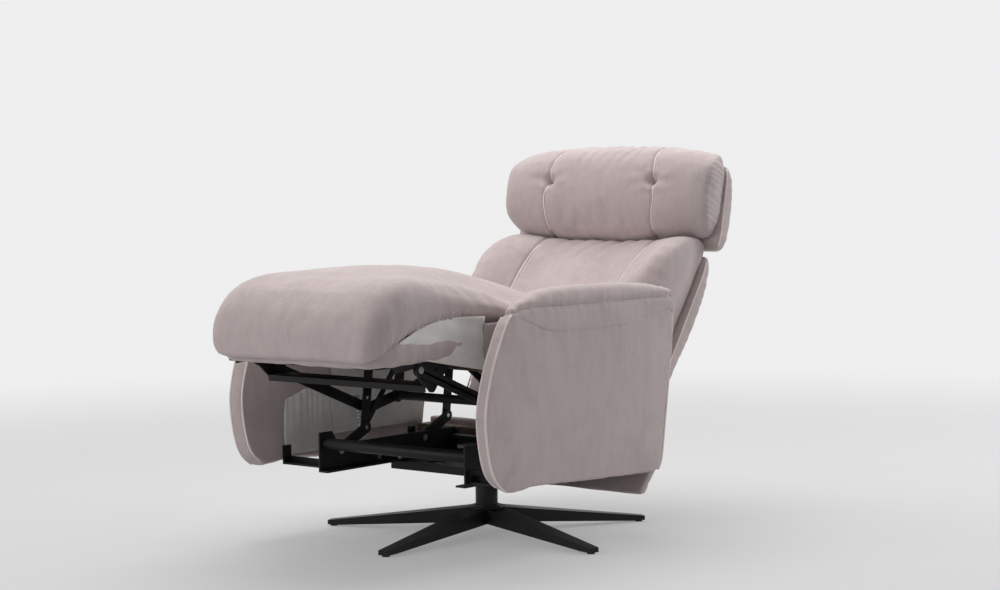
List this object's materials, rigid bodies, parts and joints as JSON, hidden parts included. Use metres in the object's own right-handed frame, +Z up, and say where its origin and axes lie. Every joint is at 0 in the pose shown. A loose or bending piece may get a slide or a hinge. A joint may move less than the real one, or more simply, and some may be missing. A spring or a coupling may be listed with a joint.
{
  "type": "recliner chair",
  "caption": "Upholstered swivel recliner on a star base, with curved arm panels, a channelled back, a tilting headrest and a padded legrest that folds out on a link mechanism.",
  "frame": {"origin": "on the floor under the middle of the open chair's length and width", "axes": "+Z up, -Y the way the chair faces, +X towards the sitter's left"},
  "size_m": [0.8097, 1.3176, 0.957],
  "materials": {
    "base_metal": "satin powder coat",
    "glide_plastic": "matte",
    "frame_metal": "satin powder coat",
    "link_metal": "semi-gloss",
    "bright_metal": "zinc plated",
    "spring_wire": "bright wire",
    "board_wood": "raw plywood",
    "dust_cloth": "thin woven cloth",
    "suede": "soft napped cloth"
  },
  "bodies": {
    "base": {"star_base": "base_metal", "foot_glides": "glide_plastic", "column_tube": "base_metal", "column_bush": "glide_plastic"},
    "chassis": {"swivel_hub": "base_metal", "swivel_plate": "frame_metal", "swivel_bolts": "bright_metal", "side_rail_left": "frame_metal", "side_rail_right": "frame_metal", "front_cross_tube": "frame_metal", "rear_cross_tube": "frame_metal", "rail_pins": "bright_metal", "arm_bracket_left": "frame_metal", "arm_bracket_right": "frame_metal", "arm_board_left": "board_wood", "arm_board_right": "board_wood", "arm_cover_left": "suede", "arm_cover_right": "suede", "arm_pad_left": "suede", "arm_pad_right": "suede", "arm_lining_left": "dust_cloth", "arm_lining_right": "dust_cloth", "rear_board": "board_wood", "rear_apron": "suede", "assist_spring_left": "spring_wire", "assist_spring_right": "spring_wire"},
    "front_lift": {"front_lift_link_left": "link_metal", "front_lift_link_right": "link_metal"},
    "rear_lift": {"rear_lift_link_left": "link_metal", "rear_lift_link_right": "link_metal"},
    "seat": {"seat_plate_left": "link_metal", "seat_plate_right": "link_metal", "seat_cross_rails": "board_wood", "seat_side_rails": "board_wood", "seat_wires": "spring_wire", "seat_pins": "bright_metal", "seat_lining": "dust_cloth", "seat_cushion": "suede"},
    "crank": {"crank_left": "link_metal", "crank_right": "link_metal", "drive_tube": "link_metal", "crank_pins": "bright_metal"},
    "drive_link": {"drive_link_left": "link_metal", "drive_link_right": "link_metal"},
    "legrest": {"legrest_bracket_left": "link_metal", "legrest_bracket_right": "link_metal", "legrest_crossbar": "link_metal", "legrest_board": "board_wood", "legrest_pins": "bright_metal", "legrest_cushion": "suede"},
    "back": {"back_bracket_left": "link_metal", "back_bracket_right": "link_metal", "back_posts": "board_wood", "back_rails": "board_wood", "back_cushion": "suede", "back_shell": "suede", "headrest_hinges": "link_metal"},
    "headrest": {"headrest_arms": "bright_metal", "headrest_cushion": "suede", "headrest_shell": "suede"}
  },
  "joints": [
    {"name": "swivel", "type": "hinge", "parent": "base", "child": "chassis", "pos_m": [0, 0.03, 0.118], "axis": [0, 0, 1], "continuous": true},
    {"name": "front_lift_swing", "type": "hinge", "parent": "chassis", "child": "front_lift", "pos_m": [0, -0.25, 0.215], "axis": [1, 0, 0], "range_deg": [-18.92, 0], "deforming": ["assist_spring_left", "assist_spring_right"]},
    {"name": "seat_carry", "type": "hinge", "parent": "front_lift", "child": "seat", "pos_m": [0, -0.15031, 0.26149], "axis": [1, 0, 0], "range_deg": [0, 18.92]},
    {"name": "rear_lift_swing", "type": "hinge", "parent": "chassis", "child": "rear_lift", "pos_m": [0, 0.06, 0.215], "axis": [1, 0, 0], "range_deg": [-18.92, 0]},
    {"name": "legrest_fold", "type": "hinge", "parent": "seat", "child": "legrest", "pos_m": [0, -0.395, 0.478], "axis": [1, 0, 0], "range_deg": [0, 86]},
    {"name": "crank_turn", "type": "hinge", "parent": "seat", "child": "crank", "pos_m": [0, -0.025, 0.33], "axis": [1, 0, 0], "range_deg": [0, 86]},
    {"name": "drive_link_turn", "type": "hinge", "parent": "crank", "child": "drive_link", "pos_m": [0, -0.13, 0.307], "axis": [1, 0, 0], "range_deg": [-86, 0]},
    {"name": "recline", "type": "hinge", "parent": "seat", "child": "back", "pos_m": [0, 0.235, 0.4], "axis": [1, 0, 0], "range_deg": [-12, 10]},
    {"name": "headrest_tilt", "type": "hinge", "parent": "back", "child": "headrest", "pos_m": [0, 0.58196, 0.68536], "axis": [1, 0, 0], "range_deg": [-12, 10]}
  ],
  "couplings": [
    {"joint": "front_lift_swing", "follows": "legrest_fold", "ratio": -0.22},
    {"joint": "seat_carry", "follows": "legrest_fold", "ratio": 0.22},
    {"joint": "rear_lift_swing", "follows": "legrest_fold", "ratio": -0.22},
    {"joint": "crank_turn", "follows": "legrest_fold", "ratio": 1},
    {"joint": "drive_link_turn", "follows": "legrest_fold", "ratio": -1}
  ]
}
